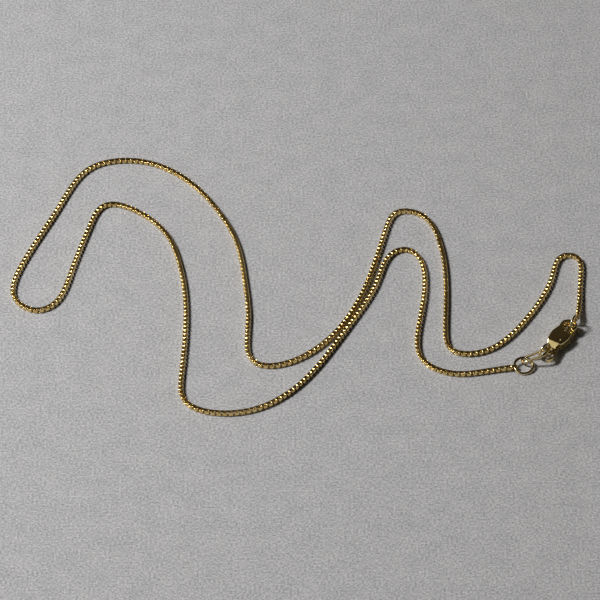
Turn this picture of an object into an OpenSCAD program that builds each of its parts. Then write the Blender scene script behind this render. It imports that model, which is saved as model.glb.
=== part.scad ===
// Box chain necklace with a lobster clasp, fastened and laid out on a flat surface.
// Millimetres, +Z up, origin in the middle of the whole necklace at the surface it lies on.

/* [Layout] */
// Width of the laid-out necklace, from its left bend to its right bend
lay_w = 99.1; // [85:0.1:125]

/* [Chain] */
// Width and height of the square chain
chain_w = 0.8; // [0.6:0.05:0.9]
// Chamfer along the chain's four edges
chain_edge = 0.12; // [0.05:0.01:0.2]

/* [End links] */
// Length of the flat loop that ends the chain
end_link_len = 1.2; // [1.1:0.05:1.6]
// Outer height of that loop
end_link_h = 0.95; // [0.9:0.05:1.2]
// Width of its strip
end_link_w = 0.45; // [0.35:0.05:0.5]
// Thickness of its strip
end_link_t = 0.14; // [0.1:0.01:0.16]

/* [Rings] */
// Play between two pieces that hang in each other
link_gap = 0.1; // [0.06:0.01:0.14]
// Outer diameter of the jump ring
jump_ring_od = 3.65; // [3.5:0.05:4]
// Wire of the jump ring
jump_ring_wire = 0.48; // [0.38:0.02:0.5]
// Outer length of the oval link
oval_link_len = 4.9; // [4.6:0.1:5.4]
// Outer width of the oval link
oval_link_w = 2.25; // [2.1:0.05:2.6]
// Wire of the oval link
oval_link_wire = 0.48; // [0.38:0.02:0.5]
// Outer diameter of the clasp ring
clasp_ring_od = 3; // [2.9:0.05:3.3]
// Wire of the clasp ring
clasp_ring_wire = 0.46; // [0.38:0.02:0.48]
// Outer diameter of the end ring that the hook holds
end_ring_od = 3.2; // [3:0.1:3.4]
// Wire of the end ring
end_ring_wire = 0.42; // [0.34:0.02:0.44]

/* [Clasp] */
// Length from the middle of the eye to the outside of the crown
clasp_len = 8.2; // [7.8:0.05:8.8]
// Widest part of the clasp's body
clasp_w = 3.45; // [3.3:0.05:3.8]
// Thickness of the body in its middle
clasp_t = 2; // [1.8:0.1:2.4]
// Outer diameter of the eye
eye_od = 2; // [1.9:0.05:2.2]
// Hole in the eye
eye_hole = 1.2; // [1.15:0.05:1.3]
// Thickness of the eye
eye_t = 0.7; // [0.6:0.05:0.8]
// Width of the hook's bar round its crown
hook_bar = 0.6; // [0.55:0.05:0.75]
// Width of the bevel round both faces
clasp_edge = 0.3; // [0.15:0.05:0.4]
// Opening that the lever closes, along the clasp
mouth_len = 1.1; // [0.9:0.05:1.2]

/* [Lever] */
// Thickness of the lever
lever_t = 0.65; // [0.55:0.05:0.9]
// Play on each side of the lever in its slot
lever_gap = 0.08; // [0.05:0.01:0.1]
// Width of the lever's gate
gate_w = 0.7; // [0.6:0.05:0.8]
// Diameter of the pivot pin
pin_d = 0.6; // [0.5:0.02:0.64]
// Running clearance round the pin
pin_gap = 0.03; // [0.02:0.01:0.05]
// Thickness of the thumb tab
tab_t = 0.35; // [0.3:0.05:0.45]

/* [Hidden] */
GOLD = [0.83, 0.66, 0.32];
BRIGHT_GOLD = [0.93, 0.78, 0.44];
$fn = 48;
EPS = 0.01;
SIDES = 8;
RINGS = 39;

// The middle of the chain in plan, from the jump ring round to the end ring
PLAN = [
    [26.5, -20.5], [20.5, -17], [19.5, -11.5], [21.5, -1], [22, 8.5], [19.5, 13.5], [15, 12],
    [13.5, 3], [9.5, -5], [5.5, -13], [0.5, -22], [-6.5, -28.5], [-14.5, -29.5], [-20.5, -26.5],
    [-20, -19], [-19.5, -10], [-19.5, 0.5], [-21, 10.5], [-23.5, 19], [-31, 25.5], [-35.5, 25.5],
    [-37, 18.5], [-39.5, 8.5], [-41, -1], [-45.5, -4], [-50, 0], [-49.5, 6], [-46, 15.5],
    [-42.5, 24], [-39.5, 33.5], [-35, 37.5], [-26.5, 37.5], [-19, 31.5], [-14, 23], [-10.5, 14.5],
    [-9.5, 4], [-8.5, -5], [-9.5, -14], [-7, -18], [-0.5, -16.5], [6, -10], [10.5, -0.5],
    [13, 8.5], [15, 17.5], [16.5, 24], [22.5, 22.5], [24.5, 15.5], [25.5, 7], [25, -5.5],
    [24.5, -13.5], [28.5, -15], [34, -13], [39.5, -5], [44, 4], [44.5, 11.5], [49.5, 11],
    [48.5, 4.5]];

// The middle of the necklace's extent in that plan, which the origin stands under
middle = [-0.28, 4.19];
PLAN_W = 99.1;
spread = lay_w / PLAN_W;
ROUTE = [for (p = PLAN) spread * (p - middle)];

// Where the clasp lies and which way each link of the fastening points
clasp_at = spread * ([42.2, -14.25] - middle);
clasp_turn = 57;
clasp_ring_way = 220.6;
clasp_ring_slack = 0.256;
clasp_ring_turn = 227.3;
clasp_ring_rise = -22.1;
clasp_ring_roll = -94.1;
oval_link_way = 214.6;
oval_link_fall = -3.7;
oval_link_slack = 1.29;
oval_link_turn = 188.5;
oval_link_rise = -21.2;
oval_link_roll = 17;
jump_ring_way = 220.3;
jump_ring_slack = 1.397;
jump_ring_turn = 189.8;
jump_ring_rise = -2.1;
jump_ring_roll = -15;
end_ring_turn = 65.3;
end_ring_rise = -6.9;
end_ring_roll = -80;
end_ring_back = 0.28;
end_ring_aside = -0.2;
start_turn = 187;
start_speed = 9.8;
end_turn = 79;
end_speed = 9.4;

function heading(turn, rise) = [cos(turn) * cos(rise), sin(turn) * cos(rise), sin(rise)];

// Height of a leaning ring's middle when its lowest point rests on the surface
function rest_height(mid_radius, wire, rise, roll) =
    mid_radius * sqrt(sin(rise) ^ 2 + (cos(rise) * sin(roll)) ^ 2) + wire / 2;

// The links of the fastening, each placed in plan from the one before it
function flat(p) = [p[0], p[1]];
function raised(p, z) = [p[0], p[1], z];
clasp_mid = raised(clasp_at, clasp_t / 2);
clasp_ring_mid_r = (clasp_ring_od - clasp_ring_wire) / 2;
clasp_ring_mid = raised(
    clasp_mid + heading(clasp_ring_way, 0) * (clasp_ring_mid_r - clasp_ring_slack),
    rest_height(clasp_ring_mid_r, clasp_ring_wire, clasp_ring_rise, clasp_ring_roll));
oval_mid_l = (oval_link_len - oval_link_wire) / 2;
oval_mid_w = (oval_link_w - oval_link_wire) / 2;
oval_link_mid = clasp_ring_mid
    + heading(oval_link_way, oval_link_fall) * (clasp_ring_mid_r + oval_mid_l - oval_link_slack);
jump_ring_mid_r = (jump_ring_od - jump_ring_wire) / 2;
jump_ring_mid = raised(
    oval_link_mid + heading(jump_ring_way, 0) * (oval_mid_l + jump_ring_mid_r - jump_ring_slack),
    rest_height(jump_ring_mid_r, jump_ring_wire, jump_ring_rise, jump_ring_roll));
end_ring_mid_r = (end_ring_od - end_ring_wire) / 2;
end_ring_mid = raised(
    clasp_mid + heading(clasp_turn, 0) * (clasp_len - hook_bar / 2 - end_ring_back)
        + heading(clasp_turn + 90, 0) * end_ring_aside,
    rest_height(end_ring_mid_r, end_ring_wire, end_ring_rise, end_ring_roll));

// The two ends of the chain follow the rings that they hang in
start_dir = heading(jump_ring_turn, jump_ring_rise);
end_dir = heading(end_ring_turn, end_ring_rise);
start_hold = jump_ring_mid + start_dir * jump_ring_mid_r;
end_hold = end_ring_mid + end_dir * end_ring_mid_r;
function reach(wire, rise) =
    end_link_len - end_link_t - (wire - link_gap) / 2 + end_link_h / 2 * abs(sin(rise));
start_point = start_hold + start_dir * reach(jump_ring_wire, jump_ring_rise);
end_point = end_hold + end_dir * reach(end_ring_wire, end_ring_rise);
start_lift = start_point[2] - chain_w / 2;
end_lift = end_point[2] - chain_w / 2;

first = ROUTE[0];
last = ROUTE[len(ROUTE) - 1];
start_lead = first - 2 * spread * start_speed * flat(heading(start_turn, 0));
end_lead = last - 2 * spread * end_speed * flat(heading(end_turn, 0));
CONTROL = concat(
    [start_lead, (6 * flat(start_point) - start_lead - first) / 4],
    ROUTE,
    [(6 * flat(end_point) - end_lead - last) / 4, end_lead]);
SPANS = len(CONTROL) - 3;

// A point on the cubic B-spline of the route, t running from 0 to SPANS
function blend(c, f) =
    ((1 - f) ^ 3 * c[0] + (3 * f ^ 3 - 6 * f ^ 2 + 4) * c[1]
        + (-3 * f ^ 3 + 3 * f ^ 2 + 3 * f + 1) * c[2] + f ^ 3 * c[3]) / 6;
function slope(c, f) =
    (-(1 - f) ^ 2 * c[0] + (3 * f ^ 2 - 4 * f) * c[1]
        + (-3 * f ^ 2 + 2 * f + 1) * c[2] + f ^ 2 * c[3]) / 2;
function span(t) = min(floor(t), SPANS - 1);
function four(t) = [for (k = [0:3]) CONTROL[span(t) + k]];
function along(t) = blend(four(t), t - span(t));
// How high the chain's ends are lifted towards the rings that hold them
function lift(t) = start_lift * max(0, 1 - t) ^ 3 + end_lift * max(0, 1 + t - SPANS) ^ 3;
function side(t) = let (d = slope(four(t), t - span(t))) [-d[1], d[0]] / norm(d);

// Outline of the chain across its run: a square with chamfered edges, standing on z = 0
half_w = chain_w / 2;
PROFILE = [
    [half_w, chain_edge], [half_w, chain_w - chain_edge],
    [half_w - chain_edge, chain_w], [chain_edge - half_w, chain_w],
    [-half_w, chain_w - chain_edge], [-half_w, chain_edge],
    [chain_edge - half_w, 0], [half_w - chain_edge, 0]];

// One stretch of the chain as a tube of RINGS rings, from t0 to t1
module chain_run(t0, t1) {
    ts = [for (i = [0:RINGS - 1]) t0 + (t1 - t0) * i / (RINGS - 1)];
    pts = [for (t = ts, p = PROFILE)
        [along(t)[0] + p[0] * side(t)[0], along(t)[1] + p[0] * side(t)[1],
        p[1] + lift(t)]];
    walls = [for (i = [0:RINGS - 2], j = [0:SIDES - 1])
        let (a = i * SIDES + j, b = i * SIDES + (j + 1) % SIDES)
        each [[a, b + SIDES, b], [a, a + SIDES, b + SIDES]]];
    near_cap = [for (j = [0:SIDES - 1]) j];
    far_cap = [for (j = [SIDES - 1:-1:0]) (RINGS - 1) * SIDES + j];
    polyhedron(points = pts, faces = concat(walls, [near_cap, far_cap]), convexity = 10);
}

module chain_a() {
    color(GOLD) chain_run(0, SPANS / 2);
}

module chain_b() {
    color(GOLD) chain_run(SPANS / 2, SPANS);
}

// Places children at mid with +X along the heading, turned about it by roll
module link_frame(mid, turn, rise, roll) {
    translate(mid) rotate([0, -rise, turn]) rotate([roll, 0, 0]) children();
}

module wire_ring(mid_r, wire) {
    rotate_extrude() translate([mid_r, 0]) circle(d = wire, $fn = 24);
}

// A flat loop round the wire of a ring, its hole across the chain
module end_link(wire) {
    in_face = wire / 2 + link_gap;
    bend_r = end_link_h / 2;
    rotate([90, 0, 0])
        translate([-in_face - end_link_t, 0, -end_link_w / 2])
        linear_extrude(end_link_w)
        difference() {
            slot_outline(end_link_len, bend_r);
            translate([end_link_t, 0]) slot_outline(end_link_len - 2 * end_link_t, bend_r - end_link_t);
        }
}

// A strip of half width r from x = 0 to len, its first corners round and its last ones square
module slot_outline(len, r) {
    corner = r * 0.6;
    translate([corner, -r]) square([len - corner, 2 * r]);
    translate([0, corner - r]) square([len, 2 * (r - corner)]);
    for (s = [-1, 1]) translate([corner, s * (r - corner)]) circle(corner);
}

module end_link_a() {
    color(GOLD)
        link_frame(start_hold, jump_ring_turn, jump_ring_rise, jump_ring_roll)
        end_link(jump_ring_wire);
}

module end_link_b() {
    color(GOLD)
        link_frame(end_hold, end_ring_turn, end_ring_rise, end_ring_roll)
        end_link(end_ring_wire);
}

module jump_ring() {
    color(BRIGHT_GOLD)
        link_frame(jump_ring_mid, jump_ring_turn, jump_ring_rise, jump_ring_roll)
        wire_ring(jump_ring_mid_r, jump_ring_wire);
}

module clasp_ring() {
    color(BRIGHT_GOLD)
        link_frame(clasp_ring_mid, clasp_ring_turn, clasp_ring_rise, clasp_ring_roll)
        wire_ring(clasp_ring_mid_r, clasp_ring_wire);
}

module end_ring() {
    color(BRIGHT_GOLD)
        link_frame(end_ring_mid, end_ring_turn, end_ring_rise, end_ring_roll)
        wire_ring(end_ring_mid_r, end_ring_wire);
}

// Two straight rails joined by half rings
module oval_link() {
    rail = 2 * (oval_mid_l - oval_mid_w);
    color(BRIGHT_GOLD)
        link_frame(oval_link_mid, oval_link_turn, oval_link_rise, oval_link_roll) {
            for (s = [-1, 1]) {
                translate([s * rail / 2, 0, 0]) rotate([0, 0, s * 90 + 180])
                    rotate_extrude(angle = 180) translate([oval_mid_w, 0])
                    circle(d = oval_link_wire, $fn = 24);
                translate([-rail / 2, s * oval_mid_w, 0]) rotate([0, 90, 0])
                    cylinder(d = oval_link_wire, h = rail, $fn = 24);
            }
        }
}

// The clasp lies with its eye at the origin, its crown towards +X and its mouth towards -Y
belly_r = clasp_w / 2;
neck_x = 0.12 * clasp_len;
neck_r = 0.5 * belly_r;
shoulder_x = 0.33 * clasp_len;
shoulder_r = 0.9 * belly_r;
belly_x = 0.48 * clasp_len;
waist_x = 0.7 * clasp_len;
waist_r = 0.8 * belly_r;
crown_r = 0.87 * belly_r;
crown_x = clasp_len - crown_r;
// Where the outline's circles stand along the clasp, and their radii
STATIONS = [[0, eye_od / 2], [neck_x, neck_r], [shoulder_x, shoulder_r], [belly_x, belly_r],
    [waist_x, waist_r], [crown_x, crown_r]];
bay_r = crown_r - hook_bar;
bay_x = crown_x - 0.08 * clasp_len;
pivot = [0.26 * clasp_len, -0.4 * belly_r];
boss_r = pin_d / 2 + 0.32;
nose_x = crown_x - 0.1 * clasp_len;
nose_r = norm([nose_x, -crown_r + hook_bar / 2] - pivot);
mouth_x = nose_x - mouth_len;
lever_inset = 0.06;
gate_in_y = lever_inset - crown_r + gate_w;
gate_root = pivot + boss_r * [0.5, 0.8];
dome_r = 3.6 * clasp_t;
end_dome_r = 16 * clasp_t;
under_dome_r = 7 * clasp_t;
scoop_r = clasp_t / 2;
scoop_x = -0.05 * eye_od;
scoop_turn = -32;
lever_swing = 20;
tab_r = 1.72;
tab_in = tab_r - tab_t;
tab_mid = [-0.145 * clasp_len, -0.06 * belly_r];
tab_tip_x = -0.31 * clasp_len;
tab_root_x = -0.085 * clasp_len;
tab_top_y = -0.6 * belly_r;
// The arm between tab and boss leaves the eye free on its upper side
arm_x = tab_root_x - lever_inset;
arm_in = [arm_x, on_tab(arm_x, tab_in + lever_inset)];
arm_out = [arm_x, on_tab(arm_x, tab_r - lever_inset)];
arm_top = pivot + boss_r * [-0.8, 0.35];
arm_free = arm_top - arm_in;
arm_play = lever_gap * [-arm_free[1], arm_free[0]] / norm(arm_free);

module in_clasp() {
    translate([clasp_at[0], clasp_at[1], 0]) rotate([0, 0, clasp_turn]) children();
}

// Two circles on the X axis with the strip between their outer tangents, in plan
module taper(x1, r1, x2, r2) {
    a = acos((r1 - r2) / (x2 - x1));
    near = [x1 + r1 * cos(a), r1 * sin(a)];
    far = [x2 + r2 * cos(a), r2 * sin(a)];
    translate([x1, 0]) circle(r1);
    translate([x2, 0]) circle(r2);
    polygon([[near[0], -near[1]], [far[0], -far[1]], far, near]);
}

// A disc of the clasp's thickness with bevelled rims at a station, and all of them run together
module bevel_disc(station) {
    translate([station[0], 0, 0]) cylinder(r = station[1] - clasp_edge, h = clasp_t);
    translate([station[0], 0, clasp_edge]) cylinder(r = station[1], h = clasp_t - 2 * clasp_edge);
}

module claw_block() {
    for (i = [1:len(STATIONS) - 1])
        hull() {
            bevel_disc(STATIONS[i - 1]);
            bevel_disc(STATIONS[i]);
        }
}

// The pillow form that both faces of the clasp share
module pillow() {
    intersection() {
        translate([-clasp_len, 0, clasp_t - dome_r]) rotate([0, 90, 0])
            cylinder(r = dome_r, h = 3 * clasp_len, $fn = 96);
        translate([-clasp_len, 0, dome_r]) rotate([0, 90, 0])
            cylinder(r = dome_r, h = 3 * clasp_len, $fn = 96);
        translate([belly_x, clasp_w, clasp_t - end_dome_r]) rotate([90, 0, 0])
            cylinder(r = end_dome_r, h = 2 * clasp_w, $fn = 96);
        translate([belly_x, clasp_w, under_dome_r]) rotate([90, 0, 0])
            cylinder(r = under_dome_r, h = 2 * clasp_w, $fn = 96);
    }
}

// Where the full swing and a little more takes a point of the lever
function swung(p) = let (a = lever_swing + 5, d = p - pivot)
    pivot + [d[0] * cos(a) - d[1] * sin(a), d[0] * sin(a) + d[1] * cos(a)];

// Room in the body for the lever over its whole swing
module lever_room() {
    slot_t = lever_t + 2 * lever_gap;
    back = pivot[1] + boss_r + lever_gap;
    swept_r = nose_r + lever_gap;
    translate([0, 0, (clasp_t - slot_t) / 2]) linear_extrude(slot_t) {
        translate(pivot) circle(boss_r + lever_gap);
        polygon([
            arm_in + arm_play, [arm_x, -clasp_w], [bay_x, -clasp_w], [bay_x, pivot[1]],
            [pivot[0], back], arm_top + arm_play]);
        polygon(concat([pivot],
            [for (a = [-lever_swing:4:lever_swing + 2]) pivot + swept_r * [cos(a), sin(a)]],
            [swung([mouth_x, gate_in_y]), swung(gate_root)]));
    }
}

// What is cut off above the eye, with the hollow neck that slants up to the upper face
module neck_cut() {
    face = (clasp_t + eye_t) / 2;
    rotate([0, 0, scoop_turn]) {
        translate([scoop_x - clasp_w, -clasp_w, face]) cube([clasp_w, 2 * clasp_w, clasp_t / 2]);
        translate([scoop_x, clasp_w, face + scoop_r]) rotate([90, 0, 0])
            cylinder(r = scoop_r, h = 2 * clasp_w);
    }
}

module clasp_body() {
    color(BRIGHT_GOLD) in_clasp() difference() {
        intersection() {
            claw_block();
            pillow();
        }
        translate([0, 0, -EPS]) linear_extrude(clasp_t + 2 * EPS) {
            circle(d = eye_hole);
            taper(bay_x, 0.8 * bay_r, crown_x, bay_r);
            intersection() {
                translate(pivot) circle(nose_r + lever_gap);
                translate([mouth_x, -clasp_w]) square([clasp_len, clasp_w - 0.15 * belly_r]);
            }
        }
        neck_cut();
        translate([0, 0, clasp_t]) mirror([0, 0, 1]) neck_cut();
        lever_room();
        translate([pivot[0], pivot[1], -EPS]) cylinder(d = pin_d + 2 * pin_gap, h = clasp_t + 2 * EPS);
    }
}

// Height of the thumb tab's curve of radius r at x
function on_tab(x, r) = tab_mid[1] - sqrt(r ^ 2 - (x - tab_mid[0]) ^ 2);

// Height of the lever's outer edge at x, just inside the body's outline
function on_edge(x) = lever_inset - lookup(x, STATIONS);

module gate_outline() {
    edge_steps = 8;
    edge_end = nose_x + nose_r / edge_steps;
    edge_x = [for (i = [0:edge_steps]) pivot[0] + (edge_end - pivot[0]) * i / edge_steps];
    intersection() {
        translate(pivot) circle(nose_r);
        polygon(concat(
            [for (x = edge_x) [x, on_edge(x)]],
            [[edge_end, gate_in_y], [mouth_x, gate_in_y], gate_root]));
    }
}

// A bent tab that curls out past the body for the thumb
module tab_outline() {
    intersection() {
        translate(tab_mid) difference() {
            circle(tab_r);
            circle(tab_in);
        }
        translate([tab_tip_x, -clasp_w]) square([tab_root_x - tab_tip_x, clasp_w + tab_top_y]);
    }
}

module lever_outline() {
    translate(pivot) circle(boss_r);
    gate_outline();
    polygon([arm_in, arm_out, pivot + [0, -boss_r * 0.95], arm_top]);
    tab_outline();
}

module clasp_lever() {
    color(GOLD) in_clasp() difference() {
        translate([0, 0, (clasp_t - lever_t) / 2]) linear_extrude(lever_t) lever_outline();
        translate([pivot[0], pivot[1], -EPS]) cylinder(d = pin_d + 2 * pin_gap, h = clasp_t + 2 * EPS);
    }
}

module clasp_pin() {
    pin_inset = 0.06 * clasp_t;
    color(BRIGHT_GOLD) in_clasp() translate([pivot[0], pivot[1], pin_inset])
        cylinder(d = pin_d, h = clasp_t - 2 * pin_inset);
}

chain_a();
chain_b();
end_link_a();
end_link_b();
jump_ring();
oval_link();
clasp_ring();
clasp_body();
clasp_lever();
clasp_pin();
end_ring();
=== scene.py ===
import math

import bmesh
import bpy
import numpy as np
from mathutils import Matrix


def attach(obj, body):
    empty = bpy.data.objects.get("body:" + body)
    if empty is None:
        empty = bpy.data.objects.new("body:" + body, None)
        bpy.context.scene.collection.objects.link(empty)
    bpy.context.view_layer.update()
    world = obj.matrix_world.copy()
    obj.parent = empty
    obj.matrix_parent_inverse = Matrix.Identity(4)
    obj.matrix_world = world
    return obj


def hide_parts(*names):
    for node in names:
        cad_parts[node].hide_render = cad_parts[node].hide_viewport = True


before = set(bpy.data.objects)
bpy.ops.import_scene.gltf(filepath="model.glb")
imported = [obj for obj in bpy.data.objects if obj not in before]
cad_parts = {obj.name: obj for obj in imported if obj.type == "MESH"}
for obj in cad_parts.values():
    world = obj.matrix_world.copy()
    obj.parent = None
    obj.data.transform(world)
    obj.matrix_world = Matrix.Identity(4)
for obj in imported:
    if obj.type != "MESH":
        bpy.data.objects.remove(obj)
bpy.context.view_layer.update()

# The numbers of the shapes are millimetres and degrees. Blender's own settings, such as
# clipping, noise scales, bump depths and the lights, are in metres.
MM = 0.001
rng = np.random.default_rng(11)


# ---------------------------------------------------------------- objects and poses
def new_object(name, data):
    obj = bpy.data.objects.new(name, data)
    bpy.context.scene.collection.objects.link(obj)
    return obj


def axes_matrix(x_axis, y_axis, z_axis, place):
    rows = np.column_stack([x_axis, y_axis, z_axis, place])
    return Matrix((*rows.tolist(), (0, 0, 0, 1)))


def rotation(turn, rise, roll):
    """The same turning order as the links of the part's source."""
    return np.array(
        Matrix.Rotation(math.radians(turn), 3, "Z")
        @ Matrix.Rotation(math.radians(-rise), 3, "Y")
        @ Matrix.Rotation(math.radians(roll), 3, "X"))


# ---------------------------------------------------------------- camera
# The photograph was taken from far off, with a long lens, looking down at 41.6 degrees.
CAMERA_ELEVATION = math.radians(41.58)
CAMERA_ROLL = math.radians(0.22)
CAMERA_TARGET = np.array([0.28, -4.19, 0.0])
CAMERA_RANGE = 732.6
CAMERA_LENS = 254.9
SENSOR_WIDTH = 36.0


def add_camera():
    data = bpy.data.cameras.new("camera")
    data.lens = CAMERA_LENS
    data.sensor_width = SENSOR_WIDTH
    data.clip_start = 0.01
    data.clip_end = 20.0
    camera = new_object("camera", data)
    bpy.context.scene.camera = camera
    sin_e, cos_e = math.sin(CAMERA_ELEVATION), math.cos(CAMERA_ELEVATION)
    sin_r, cos_r = math.sin(CAMERA_ROLL), math.cos(CAMERA_ROLL)
    ahead = np.array([0.0, cos_e, -sin_e])
    above = np.array([0.0, sin_e, cos_e])
    across = np.array([1.0, 0.0, 0.0])
    right = cos_r * across - sin_r * above
    up = sin_r * across + cos_r * above
    place = (CAMERA_TARGET - ahead * CAMERA_RANGE) * MM
    camera.matrix_world = axes_matrix(right, up, -ahead, place)


add_camera()


# ---------------------------------------------------------------- materials
def add(tree, kind, **values):
    """Adds a node. A value goes to the node's setting of that name, or else to its input,
    with a space for each underscore."""
    node = tree.nodes.new(kind)
    for name, value in values.items():
        if hasattr(node, name):
            setattr(node, name, value)
        else:
            node.inputs[name.replace("_", " ")].default_value = value
    return node


def add_ramp(tree, stops):
    node = tree.nodes.new("ShaderNodeValToRGB")
    ends = node.color_ramp.elements
    for element, (position, colour) in ((ends[0], stops[0]), (ends[1], stops[-1])):
        element.position = position
        element.color = (*colour, 1)
    for position, colour in stops[1:-1]:
        node.color_ramp.elements.new(position).color = (*colour, 1)
    return node


def node_material(name):
    material = bpy.data.materials.new(name)
    material.use_nodes = True
    tree = material.node_tree
    return material, tree, tree.nodes["Principled BSDF"]


def gold(name, deep, bright, roughness, patch, scratch, bump):
    """Polished gold: colour and gloss vary in patches, with fine polishing lines.
    roughness holds the least and the most; patch and scratch are noise scales."""
    material, tree, bsdf = node_material(name)
    bsdf.inputs["Metallic"].default_value = 1.0
    coords = add(tree, "ShaderNodeTexCoord")
    cloud = add(tree, "ShaderNodeTexNoise", Scale=patch, Detail=3.0)
    tree.links.new(coords.outputs["Object"], cloud.inputs["Vector"])
    tint = add_ramp(tree, [(0.35, deep), (0.65, bright)])
    tree.links.new(cloud.outputs["Fac"], tint.inputs["Fac"])
    tree.links.new(tint.outputs["Color"], bsdf.inputs["Base Color"])
    gloss = add(tree, "ShaderNodeMapRange", To_Min=roughness[0], To_Max=roughness[1])
    tree.links.new(cloud.outputs["Fac"], gloss.inputs["Value"])
    tree.links.new(gloss.outputs["Result"], bsdf.inputs["Roughness"])
    lines = add(tree, "ShaderNodeTexNoise", Scale=scratch, Detail=2.0)
    tree.links.new(coords.outputs["Object"], lines.inputs["Vector"])
    relief = add(tree, "ShaderNodeBump", Strength=bump, Distance=0.00002)
    tree.links.new(lines.outputs["Fac"], relief.inputs["Height"])
    tree.links.new(relief.outputs["Normal"], bsdf.inputs["Normal"])
    return material


def paper(name):
    """Pale grey paper with a fine mottled grain."""
    material, tree, bsdf = node_material(name)
    coords = add(tree, "ShaderNodeTexCoord")
    fine = add(tree, "ShaderNodeTexNoise", Scale=2600.0, Detail=4.0, Roughness=0.7)
    broad = add(tree, "ShaderNodeTexNoise", Scale=260.0, Detail=3.0)
    for noise in (fine, broad):
        tree.links.new(coords.outputs["Object"], noise.inputs["Vector"])
    grain = add(tree, "ShaderNodeMix", data_type="FLOAT", Factor=0.1)
    tree.links.new(fine.outputs["Fac"], grain.inputs["A"])
    tree.links.new(broad.outputs["Fac"], grain.inputs["B"])
    tint = add_ramp(tree, [(0.35, (0.28, 0.28, 0.29)), (0.65, (0.69, 0.69, 0.695))])
    tree.links.new(grain.outputs["Result"], tint.inputs["Fac"])
    tree.links.new(tint.outputs["Color"], bsdf.inputs["Base Color"])
    bsdf.inputs["Roughness"].default_value = 0.9
    relief = add(tree, "ShaderNodeBump", Strength=0.25, Distance=0.0001)
    tree.links.new(fine.outputs["Fac"], relief.inputs["Height"])
    tree.links.new(relief.outputs["Normal"], bsdf.inputs["Normal"])
    return material


chain_mat = gold("chain_gold", deep=(0.74, 0.53, 0.19), bright=(0.87, 0.68, 0.32),
                 roughness=(0.18, 0.27), patch=900, scratch=9000, bump=0.15)
ring_mat = gold("ring_gold", deep=(0.87, 0.70, 0.35), bright=(0.94, 0.80, 0.47),
                roughness=(0.10, 0.18), patch=500, scratch=6000, bump=0.12)
clasp_mat = gold("clasp_gold", deep=(0.84, 0.66, 0.29), bright=(0.91, 0.75, 0.38),
                 roughness=(0.10, 0.18), patch=300, scratch=4000, bump=0.12)


# ---------------------------------------------------------------- mesh helpers
def make_object(name, verts, faces, mat, smooth=True, flats=False):
    """A mesh object. flats keeps the shading of flat faces flat beside rounded edges."""
    mesh = bpy.data.meshes.new(name)
    if isinstance(faces, np.ndarray):
        faces = faces.tolist()
    mesh.from_pydata(np.asarray(verts).tolist(), [], faces)
    mesh.update()
    if smooth:
        mesh.shade_smooth()
    obj = new_object(name, mesh)
    if flats:
        even = obj.modifiers.new("even", "WEIGHTED_NORMAL")
        even.keep_sharp = False
    obj.data.materials.append(mat)
    return obj


def finish_piece(obj, slot, *nodes, body="root"):
    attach(obj, body)
    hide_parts(*nodes)


def rounded_path(half_x, half_z, corners, steps):
    """A closed rounded rectangle in XZ: its points and outward directions.
    corners holds the corner radius at +X and at -X."""
    pts, outs = [], []
    for cx, cz, start in ((1, 1, 0), (-1, 1, 90), (-1, -1, 180), (1, -1, 270)):
        r = corners[0] if cx > 0 else corners[1]
        for k in range(steps):
            a = math.radians(start + 90 * k / (steps - 1))
            out = (math.cos(a), math.sin(a))
            pts.append((cx * (half_x - r) + r * out[0], cz * (half_z - r) + r * out[1]))
            outs.append(out)
    return np.array(pts), np.array(outs)


def strip_section(width, thick, r):
    """A flat strip's section: (across, out) pairs, rounded at its outer edges."""
    w, t = width / 2, thick / 2
    inset = 0.3 * r
    side = [(w, -t + r / 2), (w, t - r), (w - inset, t - inset), (w - r, t), (w / 2, t)]
    other = [(-y, z) for y, z in side[::-1]]
    return np.array([(w - r / 2, -t)] + side + [(0, t)] + other + [(-w + r / 2, -t)])


def strip_loop(length, height, width, thick, corners, edge, corner_steps):
    """A closed loop of flat strip, standing in XZ with its strip across Y.
    Its bends are crowned across the strip, as a bent strip's are."""
    path, outs = rounded_path((length - thick) / 2, (height - thick) / 2, corners, corner_steps)
    sec = strip_section(width, thick, edge)
    n, m = len(path), len(sec)
    verts = np.zeros((n, m, 3))
    for i in range(n):
        bend = abs(2 * outs[i, 0] * outs[i, 1])
        dip = BEND_CROWN * bend * (2 * sec[:, 0] / width) ** 2
        verts[i, :, 0] = path[i, 0] + outs[i, 0] * (sec[:, 1] - dip)
        verts[i, :, 1] = sec[:, 0]
        verts[i, :, 2] = path[i, 1] + outs[i, 1] * (sec[:, 1] - dip)
    i = np.arange(n)[:, None]
    j = np.arange(m)[None]
    here, ahead = i * m, ((i + 1) % n) * m
    faces = np.stack([here + j, here + (j + 1) % m, ahead + (j + 1) % m, ahead + j], -1)
    return verts.reshape(-1, 3), faces.reshape(-1, 4)


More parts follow.
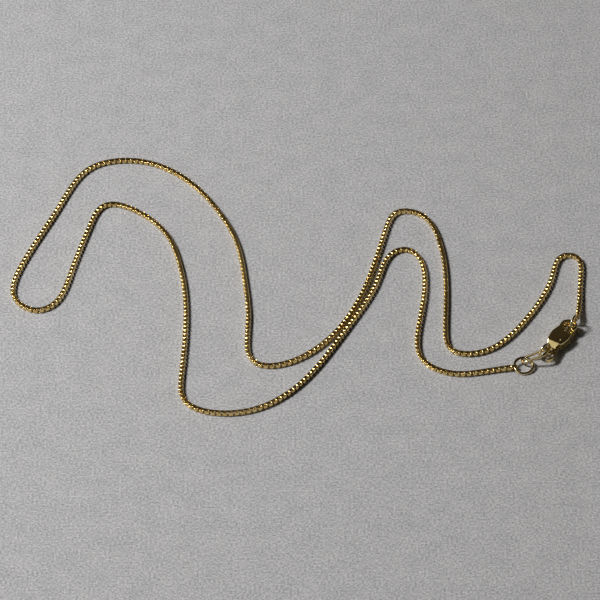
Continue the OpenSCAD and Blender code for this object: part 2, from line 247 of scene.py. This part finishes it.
def swept_wire(points, wire, closed):
    """A round wire along 3D points, kept from twisting. An open wire gets flat ends."""
    pts = np.asarray(points, float)
    n = len(pts)
    if closed:
        tan = np.roll(pts, -1, 0) - np.roll(pts, 1, 0)
    else:
        tan = np.gradient(pts, axis=0)
    tan /= np.linalg.norm(tan, axis=1)[:, None]
    flat = np.array([0.0, 0.0, 1.0])
    verts = []
    for p, t in zip(pts, tan):
        u = np.cross(flat, t)
        u /= np.linalg.norm(u)
        v = np.cross(t, u)
        for k in range(WIRE_SIDES):
            a = 2 * math.pi * k / WIRE_SIDES
            verts.append(p + wire / 2 * (math.cos(a) * u + math.sin(a) * v))
    faces = []
    for i in range(n if closed else n - 1):
        here, ahead = i * WIRE_SIDES, ((i + 1) % n) * WIRE_SIDES
        for k in range(WIRE_SIDES):
            after = (k + 1) % WIRE_SIDES
            faces.append((here + k, here + after, ahead + after, ahead + k))
    if not closed:
        faces.append(tuple(range(WIRE_SIDES))[::-1])
        faces.append(tuple((n - 1) * WIRE_SIDES + k for k in range(WIRE_SIDES)))
    return np.array(verts), faces


# ---------------------------------------------------------------- the chain
# Control points of the chain's middle line, as in the part's source.
CONTROL = np.array([
    (46.2339, -22.3014), (35.2179, -21.7208), (26.78, -24.69), (20.78, -21.19), (19.78, -15.69),
    (21.78, -5.19), (22.28, 4.31), (19.78, 9.31), (15.28, 7.81), (13.78, -1.19), (9.78, -9.19),
    (5.78, -17.19), (0.78, -26.19), (-6.22, -32.69), (-14.22, -33.69), (-20.22, -30.69),
    (-19.72, -23.19), (-19.22, -14.19), (-19.22, -3.69), (-20.72, 6.31), (-23.22, 14.81),
    (-30.72, 21.31), (-35.22, 21.31), (-36.72, 14.31), (-39.22, 4.31), (-40.72, -5.19),
    (-45.22, -8.19), (-49.72, -4.19), (-49.22, 1.81), (-45.72, 11.31), (-42.22, 19.81),
    (-39.22, 29.31), (-34.72, 33.31), (-26.22, 33.31), (-18.72, 27.31), (-13.72, 18.81),
    (-10.22, 10.31), (-9.22, -0.19), (-8.22, -9.19), (-9.22, -18.19), (-6.72, -22.19),
    (-0.22, -20.69), (6.28, -14.19), (10.78, -4.69), (13.28, 4.31), (15.28, 13.31),
    (16.78, 19.81), (22.78, 18.31), (24.78, 11.31), (25.78, 2.81), (25.28, -9.69),
    (24.78, -17.69), (28.78, -19.19), (34.28, -17.19), (39.78, -9.19), (44.28, -0.19),
    (44.78, 7.31), (49.78, 6.81), (48.78, 0.31), (48.1641, -10.6034), (45.1928, -18.1446)])
# How far the chain's two ends rise off the surface to their rings
START_LIFT = 0.1634
END_LIFT = 0.8972
CHAIN_W = 0.8
PITCH = 0.5
LINK_LEN = 0.86
LINK_CORNERS = (0.15, 0.15)
LINK_CORNER_STEPS = 5
STRIP_T = 0.085
STRIP_W = 0.62
STRIP_EDGE = 0.03
BEND_CROWN = 0.04
# The chain leans to the left by CHAIN_LEAN where it runs straight to or from the camera. Its
# roll also wanders by up to ROLL_WANDER, with a new value about every ROLL_EVERY links, and
# fades out over the last ROLL_FADE links at each end.
CHAIN_LEAN = 14.0
ROLL_WANDER = 9.0
ROLL_EVERY = 26
ROLL_FADE = 12
# Each link sits a little askew, least in its rise; a few are looser than the rest.
WOBBLE = 0.7
LOOSE_WOBBLE = 1.8
LOOSE_SHARE = 0.06
RISE_SHARE = 0.6
# The pieces that the links go into, in order along the chain, and the node that each replaces
LINK_PIECES = (("links_a1", "chain_a"), ("links_a2", "chain_a"),
               ("links_b1", "chain_b"), ("links_b2", "chain_b"))


def chain_line(steps=200):
    """The middle line: a uniform cubic B-spline, with its two ends lifted."""
    spans = len(CONTROL) - 3
    t = np.linspace(0, spans, spans * steps + 1)
    k = np.minimum(t.astype(int), spans - 1)
    f = (t - k)[:, None]
    c = [CONTROL[k + i] for i in range(4)]
    xy = ((1 - f) ** 3 * c[0] + (3 * f ** 3 - 6 * f ** 2 + 4) * c[1]
          + (-3 * f ** 3 + 3 * f ** 2 + 3 * f + 1) * c[2] + f ** 3 * c[3]) / 6
    z = (START_LIFT * np.maximum(0, 1 - t) ** 3 + END_LIFT * np.maximum(0, 1 + t - spans) ** 3
         + CHAIN_W / 2)
    return np.column_stack([xy, z])


def link_places():
    """Middle and heading of every link, evenly spaced along the line."""
    line = chain_line()
    step = np.linalg.norm(np.diff(line, axis=0), axis=1)
    s = np.concatenate([[0], np.cumsum(step)])

    def points_at(at):
        return np.column_stack([np.interp(at, s, line[:, i]) for i in range(3)])

    count = 2 * int(round(s[-1] / PITCH / 2)) + 1
    at = np.linspace(0, s[-1], count)
    tan = (points_at(np.clip(at + PITCH / 2, 0, s[-1]))
           - points_at(np.clip(at - PITCH / 2, 0, s[-1])))
    tan /= np.linalg.norm(tan, axis=1)[:, None]
    return points_at(at), tan


def chain_rolls(tans):
    """How far each link is rolled about the chain's line."""
    count = len(tans)
    knots = rng.uniform(-ROLL_WANDER, ROLL_WANDER, count // ROLL_EVERY + 3)
    at = np.arange(count) / (count - 1) * (len(knots) - 1)
    k = np.minimum(at.astype(int), len(knots) - 2)
    f = at - k
    f = f * f * (3 - 2 * f)
    from_end = np.minimum(np.arange(count), np.arange(count)[::-1])
    ends = np.clip(from_end / ROLL_FADE, 0, 1)
    return ends * (knots[k] * (1 - f) + knots[k + 1] * f - CHAIN_LEAN * tans[:, 1])


def build_links():
    base, faces = strip_loop(LINK_LEN, CHAIN_W, STRIP_W, STRIP_T, LINK_CORNERS, STRIP_EDGE,
                             LINK_CORNER_STEPS)
    turned = base[:, [0, 2, 1]] * np.array([1, -1, 1])
    mids, tans = link_places()
    rolls = chain_rolls(tans)
    groups = [[] for _ in LINK_PIECES]
    for k, (mid, tan) in enumerate(zip(mids, tans)):
        side = np.array([-tan[1], tan[0], 0.0])
        side /= np.linalg.norm(side)
        top = np.cross(tan, side)
        basis = np.column_stack([tan, side, top])
        loose = rng.random() <= LOOSE_SHARE
        jig = rng.normal(0, LOOSE_WOBBLE if loose else WOBBLE, 3)
        askew = rotation(jig[2], jig[1] * RISE_SHARE, jig[0])
        form = turned if k % 2 == 0 else base
        # A rolled link stands on its lower edge.
        lean = abs(math.radians(rolls[k]))
        lift = max(0, STRIP_W / 2 * math.sin(lean) + CHAIN_W / 2 * (math.cos(lean) - 1))
        verts = form @ askew.T @ rotation(0, 0, rolls[k]).T @ basis.T + mid + (0, 0, lift)
        groups[len(LINK_PIECES) * k // len(mids)].append(verts)
    for group, (name, node) in zip(groups, LINK_PIECES):
        verts = np.concatenate(group) * MM
        verts[:, 2] = np.maximum(verts[:, 2], 0.0)
        quads = np.concatenate([faces + i * len(base) for i in range(len(group))])
        piece = make_object(name, verts, quads, chain_mat, flats=True)
        finish_piece(piece, "chain_gold", node)


build_links()


# ---------------------------------------------------------------- rings of the fastening
WIRE_SIDES = 28
RING_POINTS = 97
RING_SLIT = 0.02
OVAL_BEND_POINTS = 40
OVAL_RAIL_POINTS = 20


def place_piece(name, verts, faces, mat, slot, mid, pose, node):
    """Turns a piece by its pose (turn, rise, roll) and moves it from the origin to mid."""
    verts = (verts @ rotation(*pose).T + np.array(mid)) * MM
    finish_piece(make_object(name, verts, faces, mat), slot, node)


def wire_ring(name, mid, pose, mid_r, wire, cut, node):
    """A round wire ring with the fine slit where its ends meet, at the angle cut."""
    slit = RING_SLIT / mid_r
    start = math.radians(cut)
    a = np.linspace(start + slit, start + 2 * math.pi - slit, RING_POINTS)
    pts = np.column_stack([mid_r * np.cos(a), mid_r * np.sin(a), np.zeros(len(a))])
    verts, faces = swept_wire(pts, wire, closed=False)
    place_piece(name, verts, faces, ring_mat, "ring_gold", mid, pose, node)


def oval_loop(name, mid, pose, half_l, half_w, wire, node):
    """A closed oval of wire; half_l and half_w reach from its middle to the wire's."""
    rail = half_l - half_w
    pts = []
    for cx, start in ((rail, -90), (-rail, 90)):
        for k in range(OVAL_BEND_POINTS):
            a = math.radians(start + 180 * k / (OVAL_BEND_POINTS - 1))
            pts.append((cx + half_w * math.cos(a), half_w * math.sin(a), 0))
        for k in range(1, OVAL_RAIL_POINTS):
            along = cx - (2 * cx) * k / OVAL_RAIL_POINTS
            pts.append((along, math.copysign(half_w, cx), 0))
    verts, faces = swept_wire(pts, wire, closed=True)
    place_piece(name, verts, faces, ring_mat, "ring_gold", mid, pose, node)


JUMP_WIRE = 0.48
OVAL_WIRE = 0.48
CLASP_RING_WIRE = 0.46
END_RING_WIRE = 0.42
JUMP_POSE = (189.8, -2.1, -15)
CLASP_RING_POSE = (227.3, -22.1, -94.1)
END_RING_POSE = (65.3, -6.9, -80)
OVAL_POSE = (188.5, -21.2, 17)
wire_ring("ring_jump", (38.0823, -21.8919, 0.654), JUMP_POSE,
          mid_r=1.585, wire=JUMP_WIRE, cut=250, node="jump_ring")
wire_ring("ring_clasp", (41.7101, -19.0999, 1.4972), CLASP_RING_POSE,
          mid_r=1.27, wire=CLASP_RING_WIRE, cut=70, node="clasp_ring")
wire_ring("ring_end", (46.7979, -12.1583, 1.5792), END_RING_POSE,
          mid_r=1.39, wire=END_RING_WIRE, cut=110, node="end_ring")
oval_loop("link_oval", (39.9112, -20.3409, 1.3559), OVAL_POSE,
          half_l=2.21, half_w=0.885, wire=OVAL_WIRE, node="oval_link")

END_LEN = 1.2
END_H = 0.95
END_W = 0.45
END_T = 0.14
END_CORNERS = (0.1, 0.24)
END_CORNER_STEPS = 6
END_EDGE = 0.045
END_PLAY = 0.1


def end_loop(name, hold, pose, wire, node):
    """The chain's last loop: round at the ring, square where the first link hooks in.
    hold is the middle of the ring's wire inside it."""
    verts, faces = strip_loop(END_LEN, END_H, END_W, END_T, END_CORNERS, END_EDGE,
                              END_CORNER_STEPS)
    verts[:, 0] += END_LEN / 2 - wire / 2 - END_PLAY - END_T
    place_piece(name, verts, faces, chain_mat, "chain_gold", hold, pose, node)


end_loop("loop_a", (36.5215, -22.1615, 0.596), JUMP_POSE, JUMP_WIRE, "end_link_a")
end_loop("loop_b", (47.3745, -10.9046, 1.4122), END_RING_POSE, END_RING_WIRE, "end_link_b")

# ---------------------------------------------------------------- the clasp
# The remesh runs on an enlarged copy, because Blender's smallest voxel is too coarse here.
ENLARGE = 200.0


def rounded_copy(node, name, voxel, rounds):
    """A finely meshed copy of a solid with its sharp edges eased."""
    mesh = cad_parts[node].data.copy()
    mesh.name = name
    obj = new_object(name, mesh)
    mesh.transform(Matrix.Scale(ENLARGE, 4))
    bm = bmesh.new()
    bm.from_mesh(mesh)
    bmesh.ops.remove_doubles(bm, verts=bm.verts, dist=1e-5)
    bm.to_mesh(mesh)
    bm.free()
    grid = obj.modifiers.new("grid", "REMESH")
    grid.mode = "VOXEL"
    grid.voxel_size = voxel * MM * ENLARGE
    grid.adaptivity = 0.0
    ease = obj.modifiers.new("ease", "SMOOTH")
    ease.factor = 0.5
    ease.iterations = rounds
    graph = bpy.context.evaluated_depsgraph_get()
    made = bpy.data.meshes.new_from_object(obj.evaluated_get(graph))
    made.transform(Matrix.Scale(1 / ENLARGE, 4))
    made.name = name
    obj.modifiers.clear()
    obj.data = made
    made.materials.clear()
    made.materials.append(clasp_mat)
    made.shade_smooth()
    return obj


# The middle of the clasp's eye in plan, the way that its crown points, and the height of
# the eye's upper face. The neck's slope is measured from the eye towards the crown.
EYE_AT = (42.48, -18.44)
CLASP_TURN = math.radians(57)
EYE_TOP = 1.35
NECK_START = 0.5
NECK_STOP = 1.65
NECK_SLOPE = 0.6
NECK_FILL_START = NECK_START + 0.1
NECK_FILL = 0.2
NECK_MARGIN = 0.15
NECK_ROUNDS = 4


def slope_neck(obj):
    """Planes the neck to one flat slope that rises from the eye to the face, fills its
    hollow by up to NECK_FILL, and smooths what lies around."""
    cos_t, sin_t = math.cos(CLASP_TURN), math.sin(CLASP_TURN)
    bm = bmesh.new()
    bm.from_mesh(obj.data)
    near = []
    for v in bm.verts:
        dx, dy, z = v.co.x / MM - EYE_AT[0], v.co.y / MM - EYE_AT[1], v.co.z / MM
        x = dx * cos_t + dy * sin_t
        top = EYE_TOP + NECK_SLOPE * max(0, x - NECK_START)
        if x < NECK_STOP and z > EYE_TOP and (z > top or x > NECK_FILL_START):
            v.co.z = min(top, z + NECK_FILL) * MM
        if x < NECK_STOP + NECK_MARGIN and z > EYE_TOP - NECK_MARGIN:
            near.append(v)
    for _ in range(NECK_ROUNDS):
        bmesh.ops.smooth_vert(bm, verts=near, factor=0.5,
                              use_axis_x=True, use_axis_y=True, use_axis_z=True)
    bm.to_mesh(obj.data)
    bm.free()


claw = rounded_copy("clasp_body", "claw", voxel=0.055, rounds=5)
slope_neck(claw)
finish_piece(claw, "clasp_gold", "clasp_body")
lever = rounded_copy("clasp_lever", "lever", voxel=0.035, rounds=3)
finish_piece(lever, "clasp_gold", "clasp_lever", body="lever")
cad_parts["clasp_pin"].data.materials.clear()
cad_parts["clasp_pin"].data.materials.append(clasp_mat)

# ---------------------------------------------------------------- floor
FLOOR_REACH = 1.5
floor_corners = [(x * FLOOR_REACH, y * FLOOR_REACH, 0)
                 for x, y in ((-1, -1), (1, -1), (1, 1), (-1, 1))]
floor = make_object("floor", floor_corners, [(0, 1, 2, 3)], paper("paper"), smooth=False)


# ---------------------------------------------------------------- light
def softbox(name, azimuth, elevation, distance, size, power, color):
    """A square area light that looks at the origin."""
    light = bpy.data.lights.new(name, "AREA")
    light.shape = "SQUARE"
    light.size = size
    light.energy = power
    light.color = color
    a, e = math.radians(azimuth), math.radians(elevation)
    way = np.array([math.cos(e) * math.cos(a), math.cos(e) * math.sin(a), math.sin(e)])
    side = np.array([-math.sin(a), math.cos(a), 0.0])
    new_object(name, light).matrix_world = axes_matrix(side, np.cross(way, side), way,
                                                       way * distance)


softbox("key", azimuth=176, elevation=53, distance=0.56, size=0.125, power=2.75,
        color=(1.0, 0.99, 0.985))

# A dim room, which changes from the front (0) to the back (1), and a paler wall low down at
# the left, by the cosine from the middle of that wall.
ROOM = [(0.0, (0.020, 0.020, 0.022)), (0.45, (0.006, 0.006, 0.006)),
        (0.62, (0.012, 0.010, 0.007)), (0.86, (0.034, 0.028, 0.019)),
        (1.0, (0.03, 0.025, 0.017))]
WALL_WAY = (-0.903, -0.079, 0.423)
WALL = [(0.62, (0.0, 0.0, 0.0)), (0.78, (0.38, 0.36, 0.33)), (1.0, (0.48, 0.46, 0.43))]


def add_world():
    world = bpy.data.worlds.new("room")
    bpy.context.scene.world = world
    world.use_nodes = True
    tree = world.node_tree
    coords = add(tree, "ShaderNodeTexCoord")
    parts = add(tree, "ShaderNodeSeparateXYZ")
    tree.links.new(coords.outputs["Generated"], parts.inputs[0])
    depth = add(tree, "ShaderNodeMapRange", From_Min=-1.0, From_Max=1.0)
    tree.links.new(parts.outputs["Y"], depth.inputs["Value"])
    room = add_ramp(tree, ROOM)
    tree.links.new(depth.outputs["Result"], room.inputs["Fac"])
    toward = add(tree, "ShaderNodeVectorMath", operation="DOT_PRODUCT")
    toward.inputs[1].default_value = WALL_WAY
    tree.links.new(coords.outputs["Generated"], toward.inputs[0])
    wall = add_ramp(tree, WALL)
    tree.links.new(toward.outputs["Value"], wall.inputs["Fac"])
    total = add(tree, "ShaderNodeVectorMath", operation="ADD")
    tree.links.new(room.outputs["Color"], total.inputs[0])
    tree.links.new(wall.outputs["Color"], total.inputs[1])
    back = tree.nodes["Background"]
    tree.links.new(total.outputs["Vector"], back.inputs["Color"])
    back.inputs["Strength"].default_value = 1.0


add_world()
view = bpy.context.scene.view_settings
view.view_transform = "Standard"
view.look = "None"
